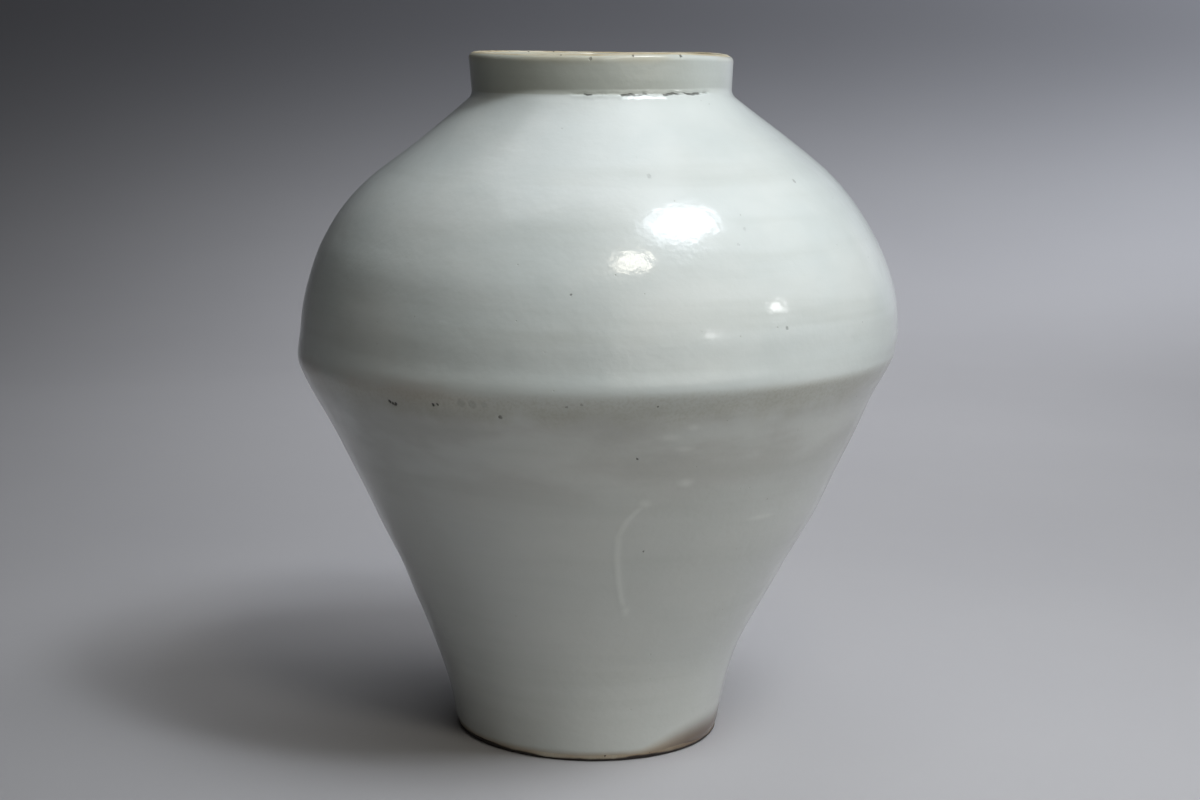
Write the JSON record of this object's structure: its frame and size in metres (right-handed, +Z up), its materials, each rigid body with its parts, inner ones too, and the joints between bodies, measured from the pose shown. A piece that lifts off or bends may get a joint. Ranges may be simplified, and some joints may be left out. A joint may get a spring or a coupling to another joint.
{
  "type": "two-part porcelain storage jar",
  "caption": "Free-standing white porcelain jar: tapering lower bowl luted to a domed upper bowl at a raised belly seam, with a short upright collar and a recessed foot.",
  "frame": {"origin": "middle of the foot ring, on the floor that the jar stands on", "axes": "+Z up along the axis of the foot; +X to the right in the picture, the side to which the belly seam rises; the picture looks along +Y"},
  "size_m": [0.367, 0.3672, 0.4216],
  "materials": {
    "porcelain_body": "bare fired porcelain clay, matt, burnt brown at the foot",
    "luting_slip": "fired slip, matt",
    "white_glaze": "clear bluish white feldspar glaze, glossy, with grey and brown stains along the belly seam"
  },
  "bodies": {
    "root": {"lower_bowl": "porcelain_body", "upper_bowl": "porcelain_body", "neck_collar": "porcelain_body", "belly_luting": "luting_slip", "neck_luting": "luting_slip", "outer_glaze": "white_glaze", "inner_glaze": "white_glaze"}
  },
  "joints": []
}
